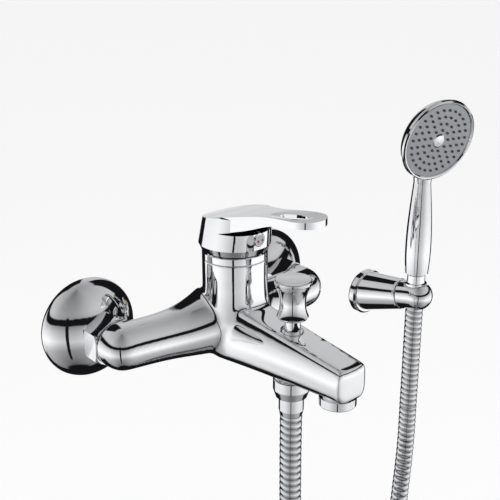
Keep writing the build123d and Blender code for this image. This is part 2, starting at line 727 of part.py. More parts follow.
def along_arm(s):
    """The point s millimetres along the bracket arm."""
    return Vector(bracket_x, -s * cos(rise), bracket_z + s * sin(rise))


def bracket():
    """Plate and cup on the wall, tapered arm, swivel head with its liner and pivot screw."""
    inside = base_radius - cup_lip
    cup = turned([(0, plate_thick), (inside, plate_thick), (inside, 0), (base_radius - 0.6, 0),
                  (base_radius, 1.2), (base_radius, base_depth - 1.6), (inside, base_depth),
                  (0, base_depth)], arm_origin, out)
    plate = rod(inside - fit, 0, plate_thick, arm_origin, out)
    for x in (bracket_x - screw_spread / 2, bracket_x + screw_spread / 2):
        sink = turned([(0, -1), (screw_hole, -1), (screw_hole, 0.8), (screw_head, plate_thick),
                       (screw_head, plate_thick + 1), (0, plate_thick + 1)], (x, 0, bracket_z), out)
        plate = plate - sink
    keep("bracket_plate", plate)
    keep("bracket_base", cup)

    arm_end = arm_stop - gap
    arm_body = turned([(0, 0), (arm_start_radius, 0), (arm_start_radius - 0.3, 6.0),
                       (arm_stop_radius, arm_stop - 2.0), (arm_stop_radius - 0.5, arm_end), (0, arm_end)],
                      arm_origin, arm_axis)
    arm_body = arm_body & box(bracket_x - 40, bracket_x + 40, -200, -base_depth, -200, 200)
    spigot_length = 2.8
    thread = rod(swivel_thread_radius + fit, arm_end - swivel_screw_reach - 2, arm_stop + 1,
                 arm_origin, arm_axis)
    pocket_floor = arm_stop - spigot_length - 0.5
    pocket = rod(swivel_spigot + running, pocket_floor, arm_stop + 1, arm_origin, arm_axis)
    keep("bracket_arm", arm_body - thread - pocket)

    socket_along = socket_y / cos(rise)
    socket_height = along_arm(socket_along).Z
    socket_at = (bracket_x, -socket_y, 0)
    head = turned([(0, arm_stop), (head_radius - 0.5, arm_stop), (head_radius, arm_stop + 1.2),
                   (head_radius, head_centre), (0, head_centre)], arm_origin, arm_axis)
    head = head + Pos(*along_arm(head_centre)) * Sphere(head_radius)
    head = head + rod(swivel_spigot, arm_stop - spigot_length, arm_stop + 1, arm_origin, arm_axis)
    above = socket_height + head_radius + 20
    below = socket_height - head_radius - 20
    slot_half = hose_radius + 0.5
    hose_slot = box(bracket_x, bracket_x + 40, -socket_y - slot_half, -socket_y + slot_half, below, above)
    seat = socket_height + liner_seat
    wall_face = socket_along - socket_bore
    screw_room = rod(swivel_screw_head + 0.2, wall_face - 1.4, wall_face + 1.0, arm_origin, arm_axis)
    head = head - rod(socket_bore, below, above, socket_at)
    head = head - rod(socket_bore + 1.1, seat, above, socket_at)
    head = head - hose_slot
    head = head - rod(swivel_screw_radius + running, arm_stop - 4, wall_face, arm_origin, arm_axis)
    head = head - screw_room
    keep("swivel_head", head)
    screw_start = arm_end - swivel_screw_reach
    shoulder = pocket_floor + 0.1
    head_low = wall_face - 1.3
    head_top = wall_face - 0.1
    keep("swivel_screw", turned([(0, screw_start), (swivel_thread_radius, screw_start),
                                 (swivel_thread_radius, shoulder), (swivel_screw_radius, shoulder),
                                 (swivel_screw_radius, head_low), (swivel_screw_head, head_low),
                                 (swivel_screw_head, head_top), (0, head_top)], arm_origin, arm_axis))

    foot = socket_height - head_radius + 3.0
    liner = ring(liner_bore, socket_bore - 0.05, foot, seat, socket_at)
    liner = liner + ring(liner_bore, socket_bore + 0.9, seat, seat + liner_flange, socket_at)
    keep("holder_liner", liner - hose_slot - screw_room)
    return seat + liner_flange


seat_z = bracket()


# ------------------------------------------------------------------ hand shower
turn = radians(handset_turn)
tilt = radians(face_tilt)
face_axis = Vector(-sin(turn) * cos(tilt), -cos(turn) * cos(tilt), -sin(tilt))
face_centre = Vector(bracket_x - sin(turn) * face_reach, -socket_y - cos(turn) * face_reach, face_z)
grip_at = (bracket_x, -socket_y, 0)


def on_face(solid_at_origin):
    """Put a piece that was drawn around +Z, with the face at height 0, onto the shower face."""
    across = Vector(cos(turn), -sin(turn), 0)
    return Plane(origin=face_centre, x_dir=across, z_dir=face_axis).location * solid_at_origin


def round_spots(radius, count):
    """Even places round a circle, as (x, y)."""
    angles = [2 * pi * k / count for k in range(count)]
    return [(radius * cos(angle), radius * sin(angle)) for angle in angles]


def handset():
    """Hand shower: chrome body with water way, rim, sprayface, nozzles, hub and flow plate."""
    ring_low = seat_z + gap    # the neck's ring rests just over the liner
    corners = [(0, grip_top), (0, neck_bottom), (neck_radius, neck_bottom), (neck_radius, ring_low),
               (collar_ring, ring_low), (collar_ring, ring_low + 1.6), (neck_radius, ring_low + 2.4),
               (neck_radius, neck_top), (grip_bottom_radius, neck_top + 1.6)]
    edges = [Line((r0, 0, z0), (r1, 0, z1)) for (r0, z0), (r1, z1) in zip(corners, corners[1:])]
    swell = Spline((grip_bottom_radius, 0, neck_top + 1.6), (grip_radius, 0, grip_widest_z),
                   (grip_radius - 0.9, 0, grip_widest_z + 19), (grip_top_radius, 0, grip_top))
    grip = spun([*edges, swell, Line((grip_top_radius, 0, grip_top), (0, 0, grip_top))], grip_at)

    rim_back = -3.2            # heights over the sprayface's reference plane
    chamber_low = -4.4
    flow_top = -2.9
    mat_top = -2.3
    face_top = -0.9
    shell_edge = rim_radius - 0.4
    shell = spun([Line((0, 0, -shell_depth), (8.0, 0, -shell_depth + 0.4)),
                  Spline((8.0, 0, -shell_depth + 0.4), (20.0, 0, -shell_depth + 3.8), (29.2, 0, -7.6),
                         (shell_edge, 0, rim_back)),
                  Line((shell_edge, 0, rim_back), (0, 0, rim_back)),
                  Line((0, 0, rim_back), (0, 0, -shell_depth))])
    shell = on_face(shell)
    throat_top = face_centre - face_axis * (shell_depth * 0.8) - Vector(0, 0, 15.0)
    bottom = (Plane(origin=(bracket_x, -socket_y, grip_top)) * Circle(grip_top_radius)).wire()
    forward = Vector(-sin(turn), -cos(turn), 0)
    middle_centre = Vector(bracket_x, -socket_y, grip_top + 9.0) + forward * 0.8
    middle = (Plane(origin=middle_centre) * Circle(grip_top_radius + 0.9)).wire()
    lean = (Vector(0, 0, 1) + forward * 0.12).normalized()
    upper = (Plane(origin=throat_top, z_dir=lean) * Circle(grip_top_radius + 1.4)).wire()
    throat = Solid.make_loft([bottom, middle, upper])
    solid = grip + throat + shell
    recess = on_face(rod(face_radius, chamber_low, 2) + rod(rim_radius + gap, rim_back, 20))
    water = on_face(rod(14.0, -11.0, 0))
    bore = rod(water_bore, neck_bottom - 1, grip_top + 6.0, grip_at)
    mouth = Vector(bracket_x, -socket_y, grip_top + 6.0)
    target = face_centre - face_axis * 6.0
    slope_way = (target - mouth).normalized()
    slant = rod(water_bore, -1.0, (target - mouth).length, tuple(mouth), tuple(slope_way))
    socket = rod(hose_end_radius + fit, neck_bottom - 1, neck_bottom + 12.0, grip_at)
    pilot = on_face(rod(face_screw_radius + fit, -screw_depth - 0.1, 0))
    solid = solid - recess - water - bore - slant - socket - pilot
    keep("handset_body", solid)

    rim_inside = face_radius + fit
    keep("handset_rim", on_face(turned([(rim_inside, rim_back), (shell_edge, rim_back),
                                        (rim_radius, -2.0), (rim_radius - 0.3, -0.4),
                                        (rim_radius - 1.4, 0.4), (rim_inside + 0.7, 0.2),
                                        (rim_inside, -0.6)])))
    screw_way = rod(face_screw_radius + fit, -6, 1)
    flow = rod(face_radius - 1.0, chamber_low, flow_top) - screw_way
    for x, y in round_spots(9.0, 8):
        flow = flow - Pos(x, y, 0) * rod(1.2, -6, 0)
    keep("flow_plate", on_face(flow))
    mat = rod(face_radius - 1.0, flow_top, mat_top) - screw_way
    face = rod(face_radius, mat_top, face_top) - rod(hub_radius + fit, hub_seat, 1) - screw_way
    post_top = face_top + nozzle_height
    post = turned([(0, mat_top - 0.2), (nozzle_radius, mat_top - 0.2), (nozzle_radius * 0.8, post_top),
                   (0, post_top)])
    for ring_radius, count in nozzle_rings:
        for x, y in round_spots(ring_radius, count):
            face = face - Pos(x, y, 0) * rod(nozzle_radius + running, -4, 1)
            mat = mat + Pos(x, y, 0) * post
    keep("nozzle_mat", on_face(mat))
    keep("handset_face", on_face(face))
    cap_room = hub_seat + 0.9
    keep("handset_hub", on_face(turned([(3.0, hub_seat), (hub_radius, hub_seat), (hub_radius, face_top),
                                        (hub_radius - 1.0, face_top + 0.6), (0, face_top + 1.0),
                                        (0, cap_room), (3.0, cap_room)])))
    screw_top = cap_room - 0.1
    keep("handset_screw", on_face(turned([(0, -screw_depth), (face_screw_radius, -screw_depth),
                                          (face_screw_radius, hub_seat), (2.7, hub_seat),
                                          (2.7, screw_top), (0, screw_top)])))


handset()


# ------------------------------------------------------------------ hose
def hose_tube(points):
    """A length of hose: straight runs joined by the largest arcs they allow."""
    corners = [Vector(*point) for point in points]
    radii = []
    for before, here, after in zip(corners, corners[1:], corners[2:]):
        into = here - before
        away = after - here
        half_turn = radians(into.get_angle(away)) / 2
        radii.append(0.45 * min(into.length, away.length) / tan(half_turn))
    print("hose bend radii", [round(radius) for radius in radii], "mm")
    path = FilletPolyline(*corners, radius=radii)
    section = Plane(origin=path @ 0, z_dir=path % 0) * Circle(hose_radius)
    tube = sweep(section, path=path)
    wanted = pi * hose_radius ** 2 * path.length
    print(f"hose run {path.length:6.1f} mm, volume is {tube.volume / wanted:5.3f} of section times length")
    return tube, path.length


def hose():
    """The free hose: two runs, the tied coil between them, and its end fitting in the grip."""
    hose_top = neck_bottom - 8.0
    collar = ring(hose_bore, hose_radius + 0.2, hose_top, neck_bottom, grip_at)
    spigot = ring(hose_bore, hose_end_radius, neck_bottom - 0.5, neck_bottom + 10.0, grip_at)
    keep("hose_ferrule_upper", collar + spigot)
    coil_left = coil_x - coil_turn
    coil_right = coil_x + coil_turn
    half_pack = coil_pitch * coil_turns / 2
    front_y = -coil_y - half_pack
    back_y = -coil_y + half_pack
    mixer_side = [(0, -diverter_y, ferrule_low), (0, -diverter_y, -112), (5, -115.5, -172),
                  (coil_left, front_y - 0.5, -242), (coil_left, front_y, coil_z)]
    bracket_side = [(coil_right, back_y, coil_z), (coil_right, back_y, -250), (173, -66, -205),
                    (bracket_x, -socket_y - 0.5, -165), (bracket_x, -socket_y, hose_joint - gap)]
    inner = coil_turn - hose_radius
    outer = coil_turn + hose_radius
    deep = half_pack + hose_radius
    corners = [(inner, -deep), (outer, -deep), (outer, deep), (inner, deep)]
    coil = turned(corners, (coil_x, -coil_y, coil_z), out, soft=[(corner, 5.0) for corner in corners])
    first, first_length = hose_tube(mixer_side)
    last, last_length = hose_tube(bracket_side)
    keep("hose_run_mixer", first - coil)
    keep("hose_run_bracket", last - coil)
    keep("hose_coil", coil)
    keep("hose_run_handset", rod(hose_radius, hose_joint, hose_top, grip_at))
    turns_length = coil_turns * 2 * pi * coil_turn
    total = first_length + last_length + turns_length + hose_top - hose_joint
    print(f"hose length {total:7.1f} mm, of which the coil holds {turns_length:6.1f} mm")

    tie_half = 4.0
    tie_thick = 1.4
    low = coil_z + inner - 0.25
    high = coil_z + outer + 0.15
    deep = deep + 0.15
    strap = box(coil_x - tie_half, coil_x + tie_half, -coil_y - deep - tie_thick,
                -coil_y + deep + tie_thick, low - tie_thick, high + tie_thick)
    keep("hose_tie", strap - box(coil_x - 9, coil_x + 9, -coil_y - deep, -coil_y + deep, low, high))


hose()
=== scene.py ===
# %% [markdown]
# # A wall mounted bath and shower mixer, in Blender
#
# The metalwork was designed in CAD and arrives here as a fixed frame: every casting, nut, screw and
# seal already has its true size and place. This lesson gives that frame its looks. It sets up the
# camera, lays the flexible hose, polishes the chrome and lights it the way polished metal is lit.

# %% Load the frame
import math

import bmesh
import bpy
import numpy as np
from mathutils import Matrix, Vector


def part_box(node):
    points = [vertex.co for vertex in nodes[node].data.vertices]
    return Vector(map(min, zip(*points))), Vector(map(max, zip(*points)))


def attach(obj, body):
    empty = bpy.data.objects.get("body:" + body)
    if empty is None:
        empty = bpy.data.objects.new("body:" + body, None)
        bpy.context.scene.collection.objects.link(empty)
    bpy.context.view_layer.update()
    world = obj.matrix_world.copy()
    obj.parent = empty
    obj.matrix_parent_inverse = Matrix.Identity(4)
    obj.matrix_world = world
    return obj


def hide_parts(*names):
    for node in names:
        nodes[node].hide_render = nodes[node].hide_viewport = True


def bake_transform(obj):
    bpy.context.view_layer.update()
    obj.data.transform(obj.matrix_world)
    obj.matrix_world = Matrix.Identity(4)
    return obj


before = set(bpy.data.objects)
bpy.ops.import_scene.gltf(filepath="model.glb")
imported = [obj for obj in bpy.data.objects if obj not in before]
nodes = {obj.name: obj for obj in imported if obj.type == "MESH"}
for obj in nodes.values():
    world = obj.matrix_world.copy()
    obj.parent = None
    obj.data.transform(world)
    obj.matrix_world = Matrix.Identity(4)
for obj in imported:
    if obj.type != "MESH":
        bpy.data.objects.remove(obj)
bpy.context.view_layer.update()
MM = 0.001

# %% [markdown]
# ## The camera
#
# The mixer is seen from its left and a little above. A camera is a place and a direction: here the
# direction comes from an azimuth and an elevation, and the place from walking backwards along it
# from a point between the mixer and its hand shower. The lens is a moderate telephoto, which keeps
# the near end of the spout from looking swollen.

# %% Place the camera
azimuth = math.radians(-40.4)
elevation = math.radians(20.0)
look_at = Vector((14.9, -60.0, 46.3)) * MM
distance = 612.7 * MM
backwards = Vector((math.sin(azimuth) * math.cos(elevation), -math.cos(azimuth) * math.cos(elevation),
                    math.sin(elevation)))
camera_data = bpy.data.cameras.new("camera")
camera_data.lens = 68.49
camera_data.sensor_width = 36.0
camera_data.clip_start = 0.01
camera = bpy.data.objects.new("camera", camera_data)
bpy.context.scene.collection.objects.link(camera)
camera.location = look_at + backwards * distance
camera.rotation_mode = "QUATERNION"
camera.rotation_quaternion = (-backwards).to_track_quat("-Z", "Y")
bpy.context.scene.camera = camera
print("camera at", [round(c, 3) for c in camera.location])

# %% [markdown]
# ## The hose's line
#
# A shower hose is one fixed length of flexible tube, about 1.6 m here. It leaves the fitting under
# the spout, hangs under its own weight, and comes back up to the hand shower in its holder. The
# length that isn't needed is put away in a tied coil of two and a half turns, hanging lowest.
#
# The line is a NURBS curve: the points pull it towards them without it passing through each, which
# gives the long easy bends of a real hose. The coil is simply more points of the same curve.

# %% Draw the hose's centreline
HOSE_RADIUS = 6.9 * MM
COIL_MIDDLE = (95.0, -88.0, -292.0)
COIL_RADIUS = 69.0
COIL_TURNS = 2.5
COIL_PITCH = 14.4
POINTS_PER_TURN = 16
hose_exit = Vector((0.0, -117.0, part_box("hose_ferrule_lower")[0].z / MM))
hose_joint = Vector((190.5, -54.6, -132.0))


def coil_points():
    """Points round the coil, from its left side down, round and up on its right."""
    count = int(COIL_TURNS * POINTS_PER_TURN)
    reach = COIL_RADIUS * 2 / (1 + math.cos(math.pi / POINTS_PER_TURN))
    points = []
    for k in range(count + 1):
        angle = math.pi + 2 * math.pi * k / POINTS_PER_TURN
        along = COIL_PITCH * (k / POINTS_PER_TURN - COIL_TURNS / 2)
        points.append((COIL_MIDDLE[0] + reach * math.cos(angle), COIL_MIDDLE[1] + along,
                       COIL_MIDDLE[2] + reach * math.sin(angle)))
    return points


def read_line(name, points):
    """A smooth NURBS line through the given points' pull, read back as a row of places in metres."""
    curve = bpy.data.curves.new(name, "CURVE")
    curve.dimensions = "3D"
    curve.resolution_u = 24
    spline = curve.splines.new("NURBS")
    spline.points.add(len(points) - 1)
    for slot, point in zip(spline.points, points):
        slot.co = (point[0] * MM, point[1] * MM, point[2] * MM, 1.0)
    spline.order_u = 3
    spline.use_endpoint_u = True
    holder = bpy.data.objects.new(name, curve)
    bpy.context.scene.collection.objects.link(holder)
    bpy.context.view_layer.update()
    read = bpy.data.meshes.new_from_object(holder)
    line = np.array([v.co for v in read.vertices], float)
    bpy.data.objects.remove(holder)
    bpy.data.meshes.remove(read)
    return line


mixer_side = [tuple(hose_exit), (0, -117, -112), (5, -115.5, -172), (26, -106.5, -242)]
bracket_side = [(164, -70, -250), (173, -66, -205), (190.5, -55.1, -165), tuple(hose_joint)]
hose_line = read_line("hose_line", mixer_side + coil_points() + bracket_side)
upper_line = read_line("upper_line", [tuple(hose_joint), (190.5, -54.6, -103), (190.5, -54.6, -74),
                                      (190.5, -54.6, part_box("hose_ferrule_upper")[0].z / MM)])


def line_length(line):
    """Length of a row of places."""
    return float(np.linalg.norm(np.diff(line, axis=0), axis=1).sum())


print("hose", round(line_length(hose_line), 3), "m and", round(line_length(upper_line), 3), "m")

# %% [markdown]
# ## The hose itself
#
# A metal hose is a steel strip wound in a spiral, each turn hooked into the last, so its surface is
# a row of rounded ribs with a fine dark groove between them. A plain tube with a painted pattern
# would have smooth edges, so the ribs are real here: the tube's rings are set close together and
# each vertex moves in or out with its place along the spiral.

# %% Wind the hose
RIB_PITCH = 4.6 * MM
RIB_DEPTH = 0.75 * MM
RINGS_PER_RIB = 6
SIDES = 28


def carried_frames(line):
    """Tangent and two crosswise directions at each place, carried along without twisting."""
    tangents = np.gradient(line, axis=0)
    tangents /= np.linalg.norm(tangents, axis=1)[:, None]
    across = np.cross(tangents[0], (1.0, 0.0, 0.0))
    across /= np.linalg.norm(across)
    firsts = []
    for tangent in tangents:
        across = across - tangent * across.dot(tangent)
        across /= np.linalg.norm(across)
        firsts.append(across.copy())
    firsts = np.array(firsts)
    return tangents, firsts, np.cross(tangents, firsts)


def wound_hose(name, line, radius, before=0.0):
    """A ribbed tube along a line of places; before is the length of hose that comes ahead of it."""
    steps = np.concatenate([[0], np.cumsum(np.linalg.norm(np.diff(line, axis=0), axis=1))])
    count = int(steps[-1] / RIB_PITCH * RINGS_PER_RIB)
    places = np.linspace(0, steps[-1], count + 1)
    middle = np.stack([np.interp(places, steps, line[:, k]) for k in range(3)], axis=1)
    _, first, second = carried_frames(middle)
    mesh = bmesh.new()
    # this layer holds how deep each place lies in a groove between ribs; the hose's material darkens its
    # colour there as painted shade
    groove_shade = mesh.verts.layers.float.new("groove_shade")
    rings = []
    for k, place in enumerate(places):
        ring = []
        for side in range(SIDES):
            turn = 2 * math.pi * side / SIDES
            phase = ((before + place) / RIB_PITCH + side / SIDES) % 1.0
            rise = abs(math.sin(math.pi * phase)) ** 0.45
            out = radius - RIB_DEPTH * (1 - rise)
            spot = middle[k] + (first[k] * math.cos(turn) + second[k] * math.sin(turn)) * out
            vertex = mesh.verts.new(spot)
            vertex[groove_shade] = 1 - rise
            ring.append(vertex)
        rings.append(ring)
    for lower, upper in zip(rings, rings[1:]):
        for side in range(SIDES):
            after = (side + 1) % SIDES
            mesh.faces.new((lower[side], lower[after], upper[after], upper[side]))
    mesh.faces.new(list(reversed(rings[0])))
    mesh.faces.new(rings[-1])
    data = bpy.data.meshes.new(name)
    mesh.normal_update()
    mesh.to_mesh(data)
    mesh.free()
    for face in data.polygons:
        face.use_smooth = True
    piece = bpy.data.objects.new(name, data)
    bpy.context.scene.collection.objects.link(piece)
    return piece


# the coil's upper end: from here the hose climbs freely to the hand shower
coil_leave = np.array((164.0, -70.0, -292.0)) * MM
half_way = 3 * len(hose_line) // 4
split_at = half_way + int(np.argmin(np.linalg.norm(hose_line[half_way:] - coil_leave, axis=1)))
kept_line = hose_line[:split_at + 1]
rising_line = hose_line[split_at:]
skin_radius = HOSE_RADIUS + 0.15 * MM
shower_hose = wound_hose("shower_hose", kept_line, skin_radius)
hose_rise = wound_hose("shower_hose_rise", rising_line, skin_radius, before=line_length(kept_line))
hose_top = wound_hose("shower_hose_top", upper_line, skin_radius, before=line_length(hose_line))
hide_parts("hose_run_mixer", "hose_coil")
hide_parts("hose_run_bracket")
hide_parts("hose_run_handset")
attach(shower_hose, "mixer")
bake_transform(hose_rise)
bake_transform(hose_top)
print(sum(len(piece.data.polygons) for piece in (shower_hose, hose_rise, hose_top)), "faces in the hose")

# %% [markdown]
# ## The studio
#
# Polished chrome has almost no colour of its own: what it shows is the room. Studios light it with
# large white panels and set black boards between them, and the boards are the crisp dark bands
# that draw the metal's edges. Real boards would stand in the way of other views, so the panels and
# boards are painted into the sky here, by direction: bright all round, a dark board on each side
# behind the object, a narrow gap between the panels in front, and a dark line above the horizon.

# %% Build the sky
world = bpy.data.worlds.new("studio")
bpy.context.scene.world = world
world.use_nodes = True
sky = world.node_tree
sky.nodes.clear()


def sky_math(operation, first, second=0.0, clamp=False):
    """One arithmetic node of the sky."""
    node = sky.nodes.new("ShaderNodeMath")
    node.operation = operation
    node.use_clamp = clamp
    for slot, value in zip(node.inputs, (first, second)):
        if isinstance(value, (int, float)):
            slot.default_value = value
        else:
            sky.links.new(value, slot)
    return node.outputs[0]


def sky_step(value, low, high):
    """Smoothly 0 below low and 1 above high."""
    node = sky.nodes.new("ShaderNodeMapRange")
    node.interpolation_type = "SMOOTHSTEP"
    node.inputs["From Min"].default_value = low
    node.inputs["From Max"].default_value = high
    sky.links.new(value, node.inputs["Value"])
    return node.outputs["Result"]


def sky_band(value, low, high, soft):
    """1 between low and high, 0 outside, with soft edges."""
    return sky_math("MULTIPLY", sky_step(value, low - soft, low + soft),
                    sky_math("SUBTRACT", 1.0, sky_step(value, high - soft, high + soft)))


direction = sky.nodes.new("ShaderNodeTexCoord").outputs["Generated"]
split = sky.nodes.new("ShaderNodeSeparateXYZ")
sky.links.new(direction, split.inputs[0])
x, y, z = split.outputs
front = (math.sin(azimuth), -math.cos(azimuth))
toward = sky_math("ADD", sky_math("MULTIPLY", x, front[0]), sky_math("MULTIPLY", y, front[1]))
rightward = sky_math("ADD", sky_math("MULTIPLY", x, -front[1]), sky_math("MULTIPLY", y, front[0]))
turn = sky_math("MULTIPLY", sky_math("ARCTAN2", rightward, toward), 180 / math.pi)
lift = sky_math("MULTIPLY", sky_math("ARCSINE", z), 180 / math.pi)
away = sky_math("ABSOLUTE", turn)

side_boards = sky_math("MULTIPLY", sky_band(away, 124, 166, 2.0), sky_band(lift, -70, 58, 3.0))
front_gap = sky_math("MULTIPLY", sky_band(turn, -8.5, -1.5, 0.8), sky_band(lift, -62, 24, 3.0))
skirting = sky_math("MULTIPLY", sky_band(lift, 8, 21, 1.5),
                    sky_math("SUBTRACT", 1.0, sky_step(away, 128, 142)))
behind_below = sky_math("MULTIPLY", sky_step(away, 96, 108),
                        sky_math("SUBTRACT", 1.0, sky_step(lift, -42, -34)))
under = sky_math("MAXIMUM", sky_math("SUBTRACT", 1.0, sky_step(lift, -80, -74)), behind_below)
dark = sky_math("MAXIMUM", sky_math("MAXIMUM", side_boards, front_gap),
                sky_math("MAXIMUM", skirting, under))

glow = sky.nodes.new("ShaderNodeValToRGB")
sky.links.new(sky_math("ADD", sky_math("MULTIPLY", lift, 1 / 180), 0.5), glow.inputs[0])
# brightness of the panels by height: (degrees above the horizon, level)
PANELS = ((-90, 0.03), (-76, 0.20), (-62, 0.34), (-40, 0.55), (-22, 1.15), (-5, 0.82), (8, 0.46),
          (30, 0.62), (90, 0.30))
stops = [((height + 90) / 180, level) for height, level in PANELS]
for index, (place, level) in enumerate(stops):
    stop = glow.color_ramp.elements[index] if index < 2 else glow.color_ramp.elements.new(place)
    stop.position = place
    stop.color = (level, level, level * 1.01, 1)
fade = sky_math("ADD", sky_math("MULTIPLY", sky_step(away, 5, 70), 0.45), 0.55)
panels = sky.nodes.new("ShaderNodeVectorMath")
panels.operation = "SCALE"
sky.links.new(glow.outputs["Color"], panels.inputs[0])
sky.links.new(fade, panels.inputs["Scale"])
black = sky.nodes.new("ShaderNodeMix")
black.data_type = "RGBA"
sky.links.new(dark, black.inputs["Factor"])
sky.links.new(panels.outputs[0], black.inputs["A"])
black.inputs["B"].default_value = (0.008, 0.008, 0.009, 1)
plain = sky.nodes.new("ShaderNodeMix")
plain.data_type = "RGBA"
sky.links.new(sky.nodes.new("ShaderNodeLightPath").outputs["Is Camera Ray"], plain.inputs["Factor"])
sky.links.new(black.outputs["Result"], plain.inputs["A"])
plain.inputs["B"].default_value = (1.0, 1.0, 1.0, 1)
lamp = sky.nodes.new("ShaderNodeBackground")
sky.links.new(plain.outputs["Result"], lamp.inputs["Color"])
lamp.inputs["Strength"].default_value = 1.0
sky_end = sky.nodes.new("ShaderNodeOutputWorld")
sky.links.new(lamp.outputs[0], sky_end.inputs["Surface"])
print(len(sky.nodes), "nodes in the sky")

# %% [markdown]
# The floor is plain and pale. The metal shouldn't mirror it, or it would hide the boards, so the
# floor lets mirrored rays through and is solid to the eye.

# %% Lay the floor
floor_z = -0.62
bpy.ops.mesh.primitive_plane_add(size=80.0, location=(0, 0, floor_z))
floor = bpy.context.object
floor.name = "floor"
paint = bpy.data.materials.new("pale_floor")
paint.use_nodes = True
tree = paint.node_tree
tree.nodes.clear()
cover = tree.nodes.new("ShaderNodeBsdfDiffuse")
cover.inputs["Color"].default_value = (0.86, 0.86, 0.86, 1)
lit = tree.nodes.new("ShaderNodeEmission")
lit.inputs["Color"].default_value = (1, 1, 1, 1)
lit.inputs["Strength"].default_value = 0.62
both = tree.nodes.new("ShaderNodeAddShader")
tree.links.new(cover.outputs[0], both.inputs[0])
tree.links.new(lit.outputs[0], both.inputs[1])
clear = tree.nodes.new("ShaderNodeBsdfTransparent")
choose = tree.nodes.new("ShaderNodeMixShader")
ray = tree.nodes.new("ShaderNodeLightPath")
tree.links.new(ray.outputs["Is Camera Ray"], choose.inputs[0])
tree.links.new(clear.outputs[0], choose.inputs[1])
tree.links.new(both.outputs[0], choose.inputs[2])
floor_end = tree.nodes.new("ShaderNodeOutputMaterial")
tree.links.new(choose.outputs[0], floor_end.inputs["Surface"])
floor.data.materials.append(paint)

softbox_data = bpy.data.lights.new("softbox", "AREA")
softbox_data.shape = "DISK"
softbox_data.size = 1.6
softbox_data.energy = 9.0
softbox = bpy.data.objects.new("softbox", softbox_data)
bpy.context.scene.collection.objects.link(softbox)
softbox.location = (-0.6, -1.0, 1.7)
softbox.rotation_mode = "QUATERNION"
softbox.rotation_quaternion = (Vector((0, 0, 0)) - softbox.location).to_track_quat("-Z", "Y")
softbox.visible_glossy = False
bpy.context.scene.view_settings.view_transform = "Standard"

# %% [markdown]
# ## The casting's soft joins
#
# A cast body has no knife-sharp inside corners: the pattern maker fills every join between arm,
# column and spout with a radius, and the polishing wheel rounds it further. The CAD solid meets in
# sharp lines there. Bevelling such lines rarely works on curved joins, so the casting is rebuilt as
# an even skin of small squares and that skin is relaxed, strongly at the joins and hardly at all
# where nuts, rings and the aerator have to seat.

# %% Relax the body's joins
SKIN = 0.75 * MM
JOIN_PASSES = 70


def link_piece(name, data):
    """Put mesh data into the scene as a new object."""
    piece = bpy.data.objects.new(name, data)
    bpy.context.scene.collection.objects.link(piece)
    return piece


def evaluated(piece):
    """The piece's mesh with its modifiers worked out."""
    graph = bpy.context.evaluated_depsgraph_get()
    graph.update()
    return bpy.data.meshes.new_from_object(piece.evaluated_get(graph))


def keep_seats(place):
    """How much a place on the casting may relax: 0 at a seat, 1 at a join."""
    x, y, z = (c / MM for c in place)
    column_seat = min(1.0, max(0.0, (38.0 - z) / 8.0))
    nut_seat = min(1.0, max(0.0, (-42.5 - y) / 4.0))
    hose_seat = min(1.0, max(0.0, (math.hypot(x, y + 117.0) - 13.0) / 4.0))
    if z > -6.0:
        hose_seat = min(1.0, max(0.0, (math.hypot(x, y + 117.0) - 7.5) / 2.0))
    tip = min(1.0, max(0.0, (y + 176.0) / 40.0))
    spout = 0.45 + 0.55 * min(1.0, max(0.0, (y + 106.0) / 16.0))
    return min(column_seat, nut_seat, hose_seat, 0.3 + 0.7 * tip, spout)


casting = nodes["mixer_body"]
rough = link_piece("casting_skin", casting.data.copy())
rough.matrix_world = casting.matrix_world
even = rough.modifiers.new("even squares", "REMESH")
even.mode = "VOXEL"
even.voxel_size = SKIN
skin = link_piece("mixer_casting", evaluated(rough))
skin.matrix_world = casting.matrix_world
bpy.data.objects.remove(rough)
ease = skin.vertex_groups.new(name="ease")
for vertex in skin.data.vertices:
    ease.add([vertex.index], max(0.10, keep_seats(skin.matrix_world @ vertex.co)), "REPLACE")
relax = skin.modifiers.new("relax", "SMOOTH")
relax.factor = 0.5
relax.iterations = JOIN_PASSES
relax.vertex_group = "ease"
relaxed = evaluated(skin)
skin.modifiers.clear()
skin.data = relaxed
for face in skin.data.polygons:
    face.use_smooth = True
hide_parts("mixer_body")
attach(skin, "mixer")
print(len(skin.data.polygons), "faces in the casting")

# %% [markdown]
# ## What every surface shares
#
# No real surface is perfectly even. Polishing leaves castings gently wavy, moulds leave a fine
# grain, and handling leaves patches that are a little duller. One node group makes all of that from
# two noises, and every material below sets its own amounts.

# %% Make the surface group


def add_noise(tree, source, size, detail):
    """A noise texture on the object's own coordinates, one grain about size metres wide."""
    noise = tree.nodes.new("ShaderNodeTexNoise")
    noise.inputs["Detail"].default_value = detail
    if isinstance(size, float):
        noise.inputs["Scale"].default_value = 1 / size
    else:
        tree.links.new(size, noise.inputs["Scale"])
    tree.links.new(source, noise.inputs["Vector"])
    return noise.outputs[0]


